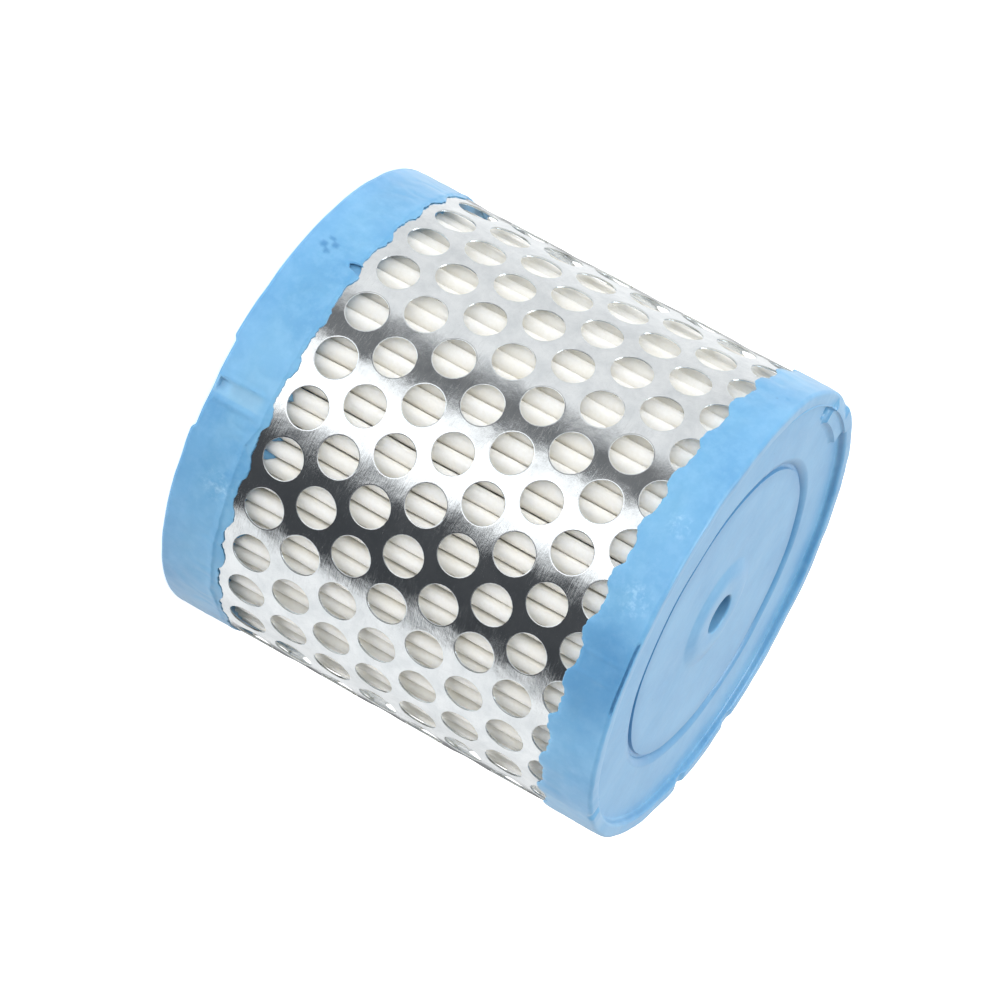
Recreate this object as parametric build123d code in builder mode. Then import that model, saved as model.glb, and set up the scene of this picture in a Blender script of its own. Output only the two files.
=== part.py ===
"""Round cartridge air filter of a small engine, standing on its open end.

The origin is the centre of the open end's sealing face and +Z runs up the axis to the closed end.
Everything is in millimetres. The seams of the rolled and folded pieces lie at the back, at +Y.
"""

import os
from math import cos, degrees, floor, pi, radians, sin

from build123d import *

os.makedirs("parts", exist_ok=True)

# Overall sizes
overall_height = 78.3
sleeve_outer_r = 38.0
core_outer_r = 24.0

# Perforated tinplate, rolled into both tubes
sheet_steel = 0.35
perforation_d = 6.85
hoop_spacing = 7.72        # along the axis, from one ring of holes to the next
arc_pitch = 8.63           # round the tube, from hole to hole in one ring
seam_margin = 4.0          # plain sheet each side of the seam
lap_width = 6.0
punch_length = 3.0         # far enough to cut clean through the rolled sheet
seam_slit = 0.4            # gap between the sheet's two edges over the lap
weld_r = 1.0
weld_depth = 0.12
weld_spacing = 14.0
weld_from_seam = 1.7

# Where the tubes, the paper and the plate end inside the moulded caps
sleeve_bottom = 3.8        # cover of urethane under the tubes at the open end
closed_end_cover = 4.6     # from the sleeve's top edge up to the rim
paper_recess = 0.4         # the paper stops this far short of the tubes' ends
bond_line = 0.05           # film of urethane between a cap and what is cast into it

# Pleated paper
paper = 0.4
pleat_pitch = 2.96         # round the outer folds
outer_fold = 1.2           # width of an outer fold, between the middles of its two layers
sleeve_gap = 0.3           # from the outer folds to the lap inside the sleeve
core_gap = 0.6             # from the inner folds to the core

# Folded clip that closes the pack of paper
clip_steel = 0.3
clip_leg = 5.0
clip_room = 0.25

# Plate moulded into the closed end, which takes the pull of the stud
plate_thickness = 0.8
plate_overhang = 0.3       # past the core, whose end it sits on
plate_clearance = 0.25     # round the stud hole, filled by the urethane

# Urethane caps, both ends
cap_skin = 0.45            # over the sleeve
open_cap_height = 10.8
closed_cap_height = 9.7
pool_drop = 1.3            # the urethane inside stops this far short of the outer lip
edge_round = 1.8
rim_width = 2.4
rim_height = 1.2
rim_slope = 0.3
rim_round = 0.5

# Closed end
stud_hole_d = 6.5
recess_margin = 0.3        # from the plate's edge to the recess's floor edge
recess_slope = 2.0
recess_depth = 0.95
boss_foot_r = 10.0
boss_top_r = 6.8
boss_height = 1.4
web_under_plate = 1.2

# Open end
opening_lining = 1.4       # urethane inside the core, round the opening
opening_chamfer = 1.0
seal_lip_width = 5.0
seal_lip_slope = 0.6

# Sizes that follow from the ones above
sleeve_top = overall_height - closed_end_cover
cap_outer_r = sleeve_outer_r + cap_skin
sleeve_inner_r = sleeve_outer_r - sheet_steel
core_inner_r = core_outer_r - sheet_steel
plate_top = sleeve_top + bond_line
plate_bottom = plate_top - plate_thickness
core_top = plate_bottom
plate_r = core_outer_r + plate_overhang
stud_hole_r = stud_hole_d / 2
opening_r = core_inner_r - opening_lining
perforation_r = perforation_d / 2

paper_bottom = sleeve_bottom + paper_recess
paper_top = core_top - paper_recess
peak_r = sleeve_inner_r - sheet_steel - sleeve_gap - paper / 2
valley_r = core_outer_r + core_gap + paper / 2
pleat_count = round(2 * pi * peak_r / pleat_pitch)
inner_fold = pi * valley_r / pleat_count
seam_peak_r = peak_r - clip_steel - bond_line - clip_room

closed_lip = overall_height - closed_cap_height
closed_pool = closed_lip + pool_drop
open_pool = open_cap_height - pool_drop
flange_z = overall_height - rim_height
recess_floor_r = plate_r + recess_margin
recess_floor_z = flange_z - recess_depth
boss_top_z = recess_floor_z + boss_height
rim_inner_r = cap_outer_r - rim_width
seal_lip_r = opening_r + opening_chamfer + seal_lip_width


def hoop_heights(bottom, top):
    """Heights of the rings of holes, spread evenly about the middle of a tube."""
    rings = floor((top - bottom - perforation_d) / hoop_spacing) + 1
    first = (bottom + top - (rings - 1) * hoop_spacing) / 2
    return [first + ring * hoop_spacing for ring in range(rings)]


def rolled_tube(outer_r, bottom, top, allowance=0.0):
    """Perforated sheet rolled into a tube with an inside lap, grown all over by the allowance."""
    inner_r = outer_r - sheet_steel
    length = top - bottom + 2 * allowance
    pitch = degrees(arc_pitch / outer_r)
    last_hole = 180 - degrees((seam_margin + perforation_r) / outer_r)
    with BuildPart() as tube:
        with BuildSketch(Plane.XY.offset(bottom - allowance)):
            Circle(outer_r + allowance)
            Circle(inner_r - allowance, mode=Mode.SUBTRACT)
        extrude(amount=length)
        with BuildSketch(Plane.XY.offset(bottom - allowance)):
            Circle(inner_r)
            Circle(inner_r - sheet_steel - allowance, mode=Mode.SUBTRACT)
            with Locations((0, inner_r)):
                Rectangle(lap_width + 2 * allowance, 4 * sheet_steel, mode=Mode.INTERSECT)
        extrude(amount=length)
        with Locations((0, inner_r, (bottom + top) / 2)):
            Box(
                seam_slit - 2 * allowance,
                2 * sheet_steel,
                length,
                align=(Align.CENTER, Align.MIN, Align.CENTER),
                mode=Mode.SUBTRACT,
            )
        heights = hoop_heights(bottom, top)
        rows = (
            (heights[0::2], 2 * floor(last_hole / pitch) + 1),
            (heights[1::2], 2 * floor(last_hole / pitch + 0.5)),
        )
        for row_heights, holes in rows:
            spread = (holes - 1) * pitch
            with Locations(*[(0, 0, height) for height in row_heights]):
                with PolarLocations(inner_r, holes, -90 - spread / 2, spread, endpoint=True):
                    Cylinder(
                        perforation_r - allowance,
                        punch_length,
                        rotation=(0, 90, 0),
                        mode=Mode.SUBTRACT,
                    )
    return tube.part


def weld_heights(bottom, top):
    """Heights of the spot welds along a seam."""
    welds = floor((top - bottom) / weld_spacing)
    first = (bottom + top - (welds - 1) * weld_spacing) / 2
    return [first + weld * weld_spacing for weld in range(welds)]


def pleat_outline(offset):
    """Corners of the folded sheet's outline, this far outside the middle of the paper."""
    corners = []
    for pleat in range(pleat_count):
        peak = seam_peak_r if pleat == 0 else peak_r
        folds = (
            (pleat, peak + offset, outer_fold / 2 + offset),
            (pleat + 0.5, valley_r + offset, inner_fold / 2 - offset),
        )
        for turn, fold_r, half_width in folds:
            angle = radians(90 + 360 * turn / pleat_count)
            for across in (-half_width, half_width):
                corners.append(
                    (
                        fold_r * cos(angle) - across * sin(angle),
                        fold_r * sin(angle) + across * cos(angle),
                    )
                )
    return corners


def pleated_pack(allowance=0.0):
    """The folded paper from end to end, grown all over by the allowance."""
    with BuildPart() as pack:
        with BuildSketch(Plane.XY.offset(paper_bottom - allowance)):
            with BuildLine():
                Polyline(*pleat_outline(paper / 2 + allowance), close=True)
            make_face()
            with BuildLine():
                Polyline(*pleat_outline(-paper / 2 - allowance), close=True)
            make_face(mode=Mode.SUBTRACT)
        extrude(amount=paper_top - paper_bottom + 2 * allowance)
    return pack.part


def folded_clip(allowance=0.0):
    """U of thin steel over the pack's joined end pleats, grown all over by the allowance."""
    inside = outer_fold + paper + 2 * bond_line
    crown_y = seam_peak_r + paper / 2 + bond_line
    with BuildPart() as clip:
        with BuildSketch(Plane.XY.offset(paper_bottom - allowance)):
            with Locations((0, crown_y + clip_steel + allowance)):
                Rectangle(
                    inside + 2 * clip_steel + 2 * allowance,
                    clip_leg + clip_steel + 2 * allowance,
                    align=(Align.CENTER, Align.MAX),
                )
            with Locations((0, crown_y - allowance)):
                Rectangle(
                    inside - 2 * allowance,
                    2 * clip_leg,
                    align=(Align.CENTER, Align.MAX),
                    mode=Mode.SUBTRACT,
                )
        extrude(amount=paper_top - paper_bottom + 2 * allowance)
    return clip.part


def stud_plate(allowance=0.0):
    """Flat washer on the core's end, grown all over by the allowance."""
    with BuildPart() as plate:
        with BuildSketch(Plane.XY.offset(plate_bottom - allowance)):
            Circle(plate_r + allowance)
            Circle(stud_hole_r + plate_clearance - allowance, mode=Mode.SUBTRACT)
        extrude(amount=plate_thickness + 2 * allowance)
    return plate.part


def revolved(outline, rounds):
    """Ring with this outline of (radius, height), its corners rounded where rounds says."""
    with BuildPart() as ring:
        with BuildSketch(Plane.XZ) as section:
            with BuildLine():
                Polyline(*outline, close=True)
            make_face()
            for corner, radius in rounds:
                fillet(section.vertices().sort_by_distance(corner)[0], radius)
        revolve(axis=Axis.Z)
    return ring.part


# What the caps are cast round
cast_sleeve = rolled_tube(sleeve_outer_r, sleeve_bottom, sleeve_top, bond_line)
cast_core = rolled_tube(core_outer_r, sleeve_bottom, core_top, bond_line)
cast_paper = pleated_pack(bond_line)
cast_clip = folded_clip(bond_line)
cast_plate = stud_plate(bond_line)

# Perforated outer sleeve
with BuildPart() as outer_sleeve:
    add(rolled_tube(sleeve_outer_r, sleeve_bottom, sleeve_top))
    for height in weld_heights(open_cap_height, closed_lip):
        with Locations((weld_from_seam, sleeve_outer_r, height)):
            Cylinder(weld_r, 2 * weld_depth, rotation=(90, 0, 0), mode=Mode.SUBTRACT)
outer_sleeve.part.label = "outer_sleeve"

# Perforated inner core
with BuildPart() as inner_core:
    add(rolled_tube(core_outer_r, sleeve_bottom, core_top))
    for height in weld_heights(open_cap_height, closed_lip):
        with Locations((weld_from_seam, core_outer_r, height)):
            Cylinder(weld_r, 2 * weld_depth, rotation=(90, 0, 0), mode=Mode.SUBTRACT)
inner_core.part.label = "inner_core"

# Pleated paper between the two tubes
with BuildPart() as pleated_media:
    add(pleated_pack())
pleated_media.part.label = "pleated_media"

# Clip along the paper's seam
with BuildPart() as pleat_seam_clip:
    add(folded_clip())
pleat_seam_clip.part.label = "pleat_seam_clip"

# Steel plate inside the closed end
with BuildPart() as stud_load_plate:
    add(stud_plate())
stud_load_plate.part.label = "stud_load_plate"

# Moulded cap of the closed end: rim, flange, sunk disc and a low boss round the stud hole
closed_outline = [
    (stud_hole_r, plate_bottom - web_under_plate),
    (core_inner_r, plate_bottom - web_under_plate),
    (core_inner_r, closed_pool),
    (sleeve_outer_r, closed_pool),
    (sleeve_outer_r, closed_lip),
    (cap_outer_r, closed_lip),
    (cap_outer_r, overall_height),
    (rim_inner_r, overall_height),
    (rim_inner_r - rim_slope, flange_z),
    (recess_floor_r + recess_slope, flange_z),
    (recess_floor_r, recess_floor_z),
    (boss_foot_r, recess_floor_z),
    (boss_top_r, boss_top_z),
    (stud_hole_r, boss_top_z),
]
closed_rounds = [
    ((cap_outer_r, overall_height), edge_round),
    ((rim_inner_r, overall_height), rim_round),
    ((rim_inner_r - rim_slope, flange_z), rim_round),
]
with BuildPart() as closed_end_cap:
    add(revolved(closed_outline, closed_rounds))
    add([cast_sleeve, cast_core, cast_paper, cast_clip, cast_plate], mode=Mode.SUBTRACT)
closed_end_cap.part.label = "closed_end_cap"

# Moulded cap of the open end: rim, flange and a sealing lip round the opening
open_outline = [
    (opening_r, opening_chamfer),
    (opening_r + opening_chamfer, 0),
    (seal_lip_r, 0),
    (seal_lip_r + seal_lip_slope, rim_height),
    (rim_inner_r - rim_slope, rim_height),
    (rim_inner_r, 0),
    (cap_outer_r, 0),
    (cap_outer_r, open_cap_height),
    (sleeve_outer_r, open_cap_height),
    (sleeve_outer_r, open_pool),
    (opening_r, open_pool),
]
open_rounds = [
    ((cap_outer_r, 0), edge_round),
    ((rim_inner_r, 0), rim_round),
    ((rim_inner_r - rim_slope, rim_height), rim_round),
]
with BuildPart() as open_end_cap:
    add(revolved(open_outline, open_rounds))
    add([cast_sleeve, cast_core, cast_paper, cast_clip], mode=Mode.SUBTRACT)
open_end_cap.part.label = "open_end_cap"

pieces = [
    outer_sleeve,
    inner_core,
    pleated_media,
    pleat_seam_clip,
    stud_load_plate,
    closed_end_cap,
    open_end_cap,
]
for piece in pieces:
    export_step(piece.part, f"parts/{piece.part.label}.step")
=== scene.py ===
"""Looks of a small engine's round air filter cartridge, in metres, standing on its open end."""

from math import atan2, ceil, cos, degrees, hypot, pi, radians, sin, sqrt

import bmesh
import bpy
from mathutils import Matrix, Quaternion, Vector, noise


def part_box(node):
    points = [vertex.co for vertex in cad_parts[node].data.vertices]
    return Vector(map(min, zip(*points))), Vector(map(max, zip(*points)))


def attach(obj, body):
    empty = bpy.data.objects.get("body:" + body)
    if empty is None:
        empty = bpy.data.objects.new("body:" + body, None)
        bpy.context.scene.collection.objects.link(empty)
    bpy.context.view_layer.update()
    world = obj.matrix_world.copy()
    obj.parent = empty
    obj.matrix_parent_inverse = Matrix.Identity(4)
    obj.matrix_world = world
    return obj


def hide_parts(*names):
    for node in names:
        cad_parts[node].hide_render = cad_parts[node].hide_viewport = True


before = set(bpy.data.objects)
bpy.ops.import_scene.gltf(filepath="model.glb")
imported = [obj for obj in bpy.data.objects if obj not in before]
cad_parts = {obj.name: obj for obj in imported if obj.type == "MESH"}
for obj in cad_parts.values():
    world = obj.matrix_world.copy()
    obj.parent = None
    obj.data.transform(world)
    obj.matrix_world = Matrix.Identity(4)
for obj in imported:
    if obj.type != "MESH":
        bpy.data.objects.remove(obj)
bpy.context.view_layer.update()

MM = 0.001
FRONT = radians(-90)                   # the middle of the rolled sheet, opposite its seam
touch = 0.01 * MM                      # two points nearer than this are one

# Perforated tinplate sleeve
sheet_steel = 0.35 * MM
uv_size = 100 * MM                     # length of the sheet that the unit of its UV map stands for
hole_r = 3.425 * MM
punched_r = 3.30 * MM                  # clear opening inside the turned-in rim
arc_pitch = 8.63 * MM                  # round the sleeve, from hole to hole
hoop_spacing = 7.72 * MM
hoops = 9
rim_roll = 0.11 * MM                   # width of the rolled-over rim round each hole
rim_drop = 0.05 * MM
rim_flat = 0.12 * MM                   # flat ring outside it
rim_parts = 28                         # sides of each hole
cell_grid = (8, 6)                     # faces of one cell of the pattern, across and up
land_share = 0.45                      # the cell's grid is cut away inside this share of its size
crease = 0.006 * MM                    # the sheet's bulge between the holes, when it is rolled
dent, dent_size = 0.045 * MM, 9 * MM
small_dent, small_dent_size = 0.03 * MM, 4 * MM
dent_room = 0.04 * MM                  # the sheet is rolled this much smaller, for its dents
seam_gap = 0.4 * MM
seam_margin = 4 * MM                   # least plain sheet between a row's last hole and the seam
lap_width = 6.0 * MM
weld_r = 1.1 * MM
weld_depth = 0.12 * MM
weld_spacing = 14.0 * MM
weld_from_seam = 1.7 * MM
weld_strip = 1.6 * MM                  # half the width of the finer mesh under the welds
welds_each_way = 2                     # above and below the middle one

# Pleated paper
pleats = 78
paper = 0.4 * MM
pleat_spread = 2.30 * MM               # across the outer fold, between its two layers
fold_height = 1.3 * MM                 # over which the outer fold rounds off
fold_tilt = 0.8 * MM                   # by which one shoulder of the fold is lower
inner_fold = 1.0 * MM
sleeve_gap = 0.55 * MM
core_gap = 0.6 * MM
pleat_phase = 0.2                      # of a pleat, between the front and the nearest fold
fold_stray = 0.16 * MM                 # sideways, from fold to fold and along each fold
fold_reach = 0.25 * MM                 # in and out, from fold to fold
fold_sway = 0.10 * MM                  # in and out, along each fold
free_r = 36 * MM                       # beyond this radius the folds stray in full
paper_slices = 22                      # of the mesh, from end to end

# Urethane caps
spin_steps = 720
skin_gap = 0.01 * MM                   # between the sleeve and the skin that lies on it
bond_line = 0.05 * MM
cap_room = 0.12 * MM                   # the cap is this much smaller in radius, for its swells
open_cap_less = 0.08 * MM              # by which the open cap is smaller still
swell = 0.07 * MM                      # slow unevenness of the caps' sides
ripple, ripple_size = 0.04 * MM, 2.5 * MM
edge_round = 0.7 * MM
rim_width = 2.4 * MM
rim_height = 1.2 * MM
rim_slope = 0.3 * MM
rim_round = 0.5 * MM
film = 0.18 * MM                       # thin flash over the sleeve, past the full skin
film_height = 1.4 * MM

# Closed end
stud_hole_r = 3.25 * MM
recess_depth = 0.32 * MM
recess_floor_r = 24.6 * MM
recess_slope = 1.9 * MM
groove_depth = 0.5 * MM                # of the line round the sunk disc, left by the mould's insert
groove_edge = 1.0 * MM                 # its outer edge, out from the disc
groove_foot = (0.7 * MM, 0.15 * MM)    # its floor, from and to, out from the disc
boss_foot_r = 9.4 * MM
boss_top_r = 6.9 * MM
boss_height = 0.7 * MM
face_lean = 0.8 * MM                   # by which the moulded face is lower at the front than the back
web_depth = 6.55 * MM                  # from the rim down to the underside of the web
closed_pool_depth = 8.4 * MM           # from the rim down to the underside round the paper
lip_lobe = 1.0 * MM                    # by which the lip is pulled back over each hole
closed_lip_lean = 0.5 * MM             # lower at +X, higher at -X

# Flaws of the closed cap: azimuths in degrees, other numbers in millimetres
side_slot = (-72, -55)                 # from and to
side_lines = (-66, -60.6)
rim_nicks = ((70.5, 1.6, 0.3), (48, 1.6, 0.5), (-16.5, 0.8, 0.4))               # azimuth, span, depth
low_rim = (171, 172.5, 200, 245)       # starts, is full from and to, ends; azimuths up to 360
low_rim_depth = 0.6
flash_tab = (164.5, 183)               # from and to; azimuths up to 360
flash_tab_r = (33.3, 36.6)
flash_tab_height = 0.7
face_voids = ((-174.3, 34.3, 0.9), (-174.0, 35.2, 0.8), (-14, 35.4, 0.6))       # azimuth, radius, size
face_void_depth = 0.8

# Open end
opening_r = 22.25 * MM
opening_chamfer = 1.0 * MM
seal_lip_r = 28.25 * MM
seal_lip_slope = 0.6 * MM
open_pool = 11.4 * MM                  # top of the urethane inside, round the paper's end
opening_depth = 9.5 * MM

# Flaws of the open cap: azimuths in degrees, other numbers in millimetres
thin_film = (-69, -25)                 # where the full skin stops short of the lip
lip_void = (-118.3, -116.9)
lip_void_depth = 2.2
vent = (-80.5, -79.9, -79.4, -76.2)    # channel in the side: starts, is full from and to, ends
vent_ridges = ((0.2, -75.9, -75.3, 0.5), (0.16, -81.3, -80.9, 0.4))     # height, from, to, softness
short_rim = (-89, -68)
short_rim_height = 0.55
open_rim_lean = 0.8                    # by which the rim is short of the floor at -X
paper_climbs = ((-83.6, 1.4), (-72.9, 1.9), (-68.2, 1.9), (-45, 1.6), (22, 2.0), (104, 2.2))

# Looks of the caps' skin: azimuths in degrees, other numbers in millimetres
thin_webs = (-83.5, -70.5, 59, 124)    # bright sheet shows through between these holes
scuffs = (                             # azimuth, height, size
    (-81, 73.8, 3.4), (-57, 7.2, 3.2), (-100, 74, 2.6), (20, 5, 4), (95, 73, 4), (150, 6, 4),
)
smudges = (                            # azimuth, height, size
    (-119.4, 3.6, 0.9), (-118.0, 4.6, 0.7), (-120.4, 5.2, 0.8), (-121.8, 4.2, 0.6),
    (-70.3, 75.4, 0.45), (12, 70.5, 0.8), (14, 71.2, 0.6), (150, 3.5, 0.8),
)
# Patch of painted shade on the closed cap's side, darker where less light falls
painted_shade_patch = (-61, 73, 13)             # azimuth, height, size

# Sizes read from the frame
sleeve_low, sleeve_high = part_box("outer_sleeve")
sleeve_r = sleeve_high.x
sleeve_bottom, sleeve_top = sleeve_low.z, sleeve_high.z
first_hoop = (sleeve_bottom + sleeve_top - (hoops - 1) * hoop_spacing) / 2
core_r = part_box("inner_core")[1].x
paper_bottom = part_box("pleated_media")[0].z
paper_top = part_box("pleated_media")[1].z
cap_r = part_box("closed_end_cap")[1].x - cap_room
open_cap_r = cap_r - open_cap_less
overall_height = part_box("closed_end_cap")[1].z
closed_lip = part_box("closed_end_cap")[0].z
open_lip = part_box("open_end_cap")[1].z

# Camera and mirrored surroundings
lens_mm = 185.46
sensor_mm = 36
view_from = (-87.19, 15.7)             # azimuth and elevation, in degrees
view_roll = 118.66
view_aim = Vector((0.8, -0.1, 37.95)) * MM
view_distance = 796.3 * MM
mirrored_low, mirrored_high = -0.315, -0.255    # heights of the tent that the sleeve mirrors
table_size = 12


# ---------------------------------------------------------------- helpers

def start_fresh():
    """Deselects everything, so that an operator acts only on what comes next."""
    bpy.ops.object.select_all(action="DESELECT")
    bpy.context.view_layer.objects.active = None


def begin(name):
    """Names the primitive just added and opens it in edit mode with nothing selected."""
    piece = bpy.context.object
    piece.name = name
    piece.data.name = name
    bpy.ops.object.mode_set(mode="EDIT")
    bpy.ops.mesh.select_all(action="DESELECT")
    return piece


def pick(test, kind="VERT"):
    """In edit mode, selects just the vertices, edges or faces whose middle passes the test."""
    mesh = bpy.context.edit_object.data
    bpy.ops.mesh.select_mode(type=kind)
    bpy.ops.mesh.select_all(action="DESELECT")
    shape = bmesh.from_edit_mesh(mesh)
    for item in {"VERT": shape.verts, "EDGE": shape.edges, "FACE": shape.faces}[kind]:
        if kind == "VERT":
            middle = item.co
        else:
            middle = sum((v.co for v in item.verts), Vector()) / len(item.verts)
        item.select_set(test(middle))
    shape.select_flush_mode()
    bmesh.update_edit_mesh(mesh)


def move_points(piece, rule):
    """Moves every point of the piece to where the rule puts it."""
    for point in piece.data.vertices:
        point.co = rule(point.co)


def apply_modifier(piece, kind, **settings):
    """Adds a modifier with these settings and applies it."""
    bpy.context.view_layer.objects.active = piece
    modifier = piece.modifiers.new(kind.title(), kind)
    for name, value in settings.items():
        setattr(modifier, name, value)
    bpy.ops.object.modifier_apply(modifier=modifier.name)


def join(pieces):
    """Joins pieces into the first one."""
    start_fresh()
    for piece in pieces:
        piece.select_set(True)
    bpy.context.view_layer.objects.active = pieces[0]
    bpy.ops.object.join()
    return pieces[0]


def finish_mesh(piece, merge, angle):
    """Merges points nearer than merge and shades smooth up to an angle in degrees."""
    start_fresh()
    piece.select_set(True)
    bpy.context.view_layer.objects.active = piece
    bpy.ops.object.mode_set(mode="EDIT")
    bpy.ops.mesh.select_all(action="SELECT")
    bpy.ops.mesh.remove_doubles(threshold=merge)
    bpy.ops.object.mode_set(mode="OBJECT")
    bpy.ops.object.shade_smooth_by_angle(angle=radians(angle))


def ease(low, high, value):
    """0 below low, 1 above high, and smooth between them."""
    share = min(max((value - low) / (high - low), 0), 1)
    return share * share * (3 - 2 * share)


def window(value, low, high, soft):
    """1 between low and high, falling to 0 within soft of them."""
    return ease(low - soft, low, value) * (1 - ease(high, high + soft, value))


def waver(a, b, size, seed=0.0):
    """Smooth noise of about -1 to 1 over two lengths, with features of this size.

    Each use has its own seed, so that no two patterns match.
    """
    return 2 * noise.noise(Vector((a / size, b / size, seed)))


# ---------------------------------------------------------------- tinplate sleeve

def perforated_cell():
    """One flat cell of the pattern: land out to the cell's edges and the hole's rolled rim."""
    start_fresh()
    bpy.ops.mesh.primitive_grid_add(x_subdivisions=cell_grid[0], y_subdivisions=cell_grid[1], size=1)
    cell = begin("sleeve_cell")
    bpy.ops.mesh.select_all(action="SELECT")
    bpy.ops.transform.resize(value=(arc_pitch, hoop_spacing, 1))
    inner_x, inner_y = arc_pitch * land_share, hoop_spacing * land_share
    pick(lambda at: abs(at.x) < inner_x and abs(at.y) < inner_y)
    bpy.ops.mesh.delete(type="VERT")
    ring_r, drop = punched_r + rim_roll + rim_flat, 0.0
    bpy.ops.mesh.primitive_circle_add(vertices=rim_parts, radius=ring_r)
    bpy.ops.mesh.select_mode(type="EDGE")
    bpy.ops.mesh.select_all(action="SELECT")
    bpy.ops.mesh.bridge_edge_loops()
    bpy.ops.mesh.select_all(action="SELECT")
    bpy.ops.mesh.normals_make_consistent(inside=False)
    steps = ((rim_roll, 0), (0.4 * rim_roll, -0.35 * rim_drop), (0, -rim_drop))
    for outside, next_drop in steps:
        next_r = punched_r + outside
        reach = ring_r + touch
        pick(lambda at: hypot(at.x, at.y) < reach, "EDGE")
        bpy.ops.mesh.extrude_edges_move(
            TRANSFORM_OT_translate={"value": (0, 0, next_drop - drop)}
        )
        bpy.ops.transform.resize(value=(next_r / ring_r, next_r / ring_r, 1))
        ring_r, drop = next_r, next_drop
    bpy.ops.object.mode_set(mode="OBJECT")
    if cell.data.polygons[0].normal.z < 0:
        bpy.ops.object.mode_set(mode="EDIT")
        bpy.ops.mesh.select_all(action="SELECT")
        bpy.ops.mesh.flip_normals()
        bpy.ops.object.mode_set(mode="OBJECT")
    return cell


def row_of_holes(cell, holes, height, edge):
    """A row of cells centred on the front, carried on as plain sheet to the seam's edges."""
    start_fresh()
    cell.select_set(True)
    bpy.context.view_layer.objects.active = cell
    bpy.ops.object.duplicate()
    row = bpy.context.object
    apply_modifier(
        row, "ARRAY", count=holes, use_relative_offset=False, use_constant_offset=True,
        constant_offset_displace=(arc_pitch, 0, 0), use_merge_vertices=True,
        merge_threshold=touch,
    )
    bpy.ops.object.mode_set(mode="EDIT")
    bpy.ops.mesh.select_all(action="SELECT")
    bpy.ops.transform.translate(value=(-(holes - 1) / 2 * arc_pitch, height, 0))

    # Half a cell of plain sheet where there is room for it, then strips to the sheet's edge
    half_cell, plain_strips = cell_grid[0] // 2, 6
    for side in (-1, 1):
        reach = holes / 2 * arc_pitch
        widest = ceil(edge / arc_pitch - 0.5) * arc_pitch
        stops = []
        if reach < widest:
            stops = [reach + (step + 1) * arc_pitch / cell_grid[0] for step in range(half_cell)]
        last = stops[-1] if stops else reach
        stops += [last + (step + 1) / plain_strips * (edge - last) for step in range(plain_strips)]
        for stop in stops:
            line = side * reach
            pick(lambda at: abs(at.x - line) < touch, "EDGE")
            bpy.ops.mesh.extrude_edges_move(
                TRANSFORM_OT_translate={"value": (side * (stop - reach), 0, 0)}
            )
            reach = stop
    bpy.ops.object.mode_set(mode="OBJECT")
    return row


def roll_up(at):
    """Rolls the flat sheet round the axis: along x becomes round, y becomes up, z outwards."""
    turn = FRONT + at.x / sleeve_r
    creases = crease * cos(4 * pi * at.x / arc_pitch)
    dents = dent * waver(at.x, 0.6 * at.y, dent_size)
    dents += small_dent * waver(at.x, at.y, small_dent_size, 7)
    r = sleeve_r + at.z - creases + dents - dent_room
    return Vector((r * cos(turn), r * sin(turn), at.y))


def make_sleeve():
    """The perforated sheet, rolled up with its edges butted over an inside lap and spot welded."""
    edge = pi * sleeve_r - seam_gap / 2
    room = (edge - seam_margin - hole_r) / arc_pitch
    odd_row = 2 * int(room) + 1
    even_row = 2 * int(room + 0.5)
    cell = perforated_cell()
    rows = []
    for hoop in range(hoops):
        holes = even_row if hoop % 2 else odd_row
        rows.append(row_of_holes(cell, holes, first_hoop + hoop * hoop_spacing, edge))
    bpy.data.objects.remove(cell)
    sleeve = join(rows)
    sleeve.name = "perforated_sleeve"
    sleeve.data.name = "perforated_sleeve"
    bpy.ops.object.mode_set(mode="EDIT")
    bpy.ops.mesh.select_all(action="SELECT")
    bpy.ops.mesh.remove_doubles(threshold=touch)
    low = first_hoop - hoop_spacing / 2
    high = first_hoop + (hoops - 0.5) * hoop_spacing
    for line, end in ((low, sleeve_bottom), (high, sleeve_top)):
        pick(lambda at: abs(at.y - line) < touch, "EDGE")
        bpy.ops.mesh.extrude_edges_move(TRANSFORM_OT_translate={"value": (0, end - line, 0)})
    weld_x = edge - weld_from_seam
    pick(lambda at: abs(at.x - weld_x) < weld_strip, "FACE")
    bpy.ops.mesh.subdivide(number_cuts=3)
    bpy.ops.object.mode_set(mode="OBJECT")
    middle = (sleeve_bottom + sleeve_top) / 2

    def weld(at):
        along = (at.y - middle) / weld_spacing
        away = hypot(at.x - weld_x, (along - round(along)) * weld_spacing)
        if abs(round(along)) > welds_each_way or away > weld_r:
            return at
        return at - Vector((0, 0, weld_depth * (1 - (away / weld_r) ** 4)))

    move_points(sleeve, weld)
    apply_modifier(sleeve, "SOLIDIFY", thickness=sheet_steel, offset=-1)

    start_fresh()
    bpy.ops.mesh.primitive_grid_add(x_subdivisions=6, y_subdivisions=8, size=1)
    lap = begin("lap")
    bpy.ops.mesh.select_all(action="SELECT")
    bpy.ops.transform.resize(value=(lap_width, sleeve_top - sleeve_bottom, 1))
    bpy.ops.transform.translate(value=(pi * sleeve_r, middle, -sheet_steel - touch))
    bpy.ops.object.mode_set(mode="OBJECT")
    apply_modifier(lap, "SOLIDIFY", thickness=sheet_steel, offset=-1)
    join([sleeve, lap])

    # The flat sheet's own coordinates are the only UV layer, so the tinplate reads them
    while sleeve.data.uv_layers:
        sleeve.data.uv_layers.remove(sleeve.data.uv_layers[0])
    flat = sleeve.data.uv_layers.new(name="flat_sheet")
    points = sleeve.data.vertices
    for loop in sleeve.data.loops:
        at = points[loop.vertex_index].co
        flat.data[loop.index].uv = (at.x / uv_size, at.y / uv_size)
    move_points(sleeve, roll_up)
    finish_mesh(sleeve, merge=0.002 * MM, angle=38)
    return sleeve


# ---------------------------------------------------------------- pleated paper

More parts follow.
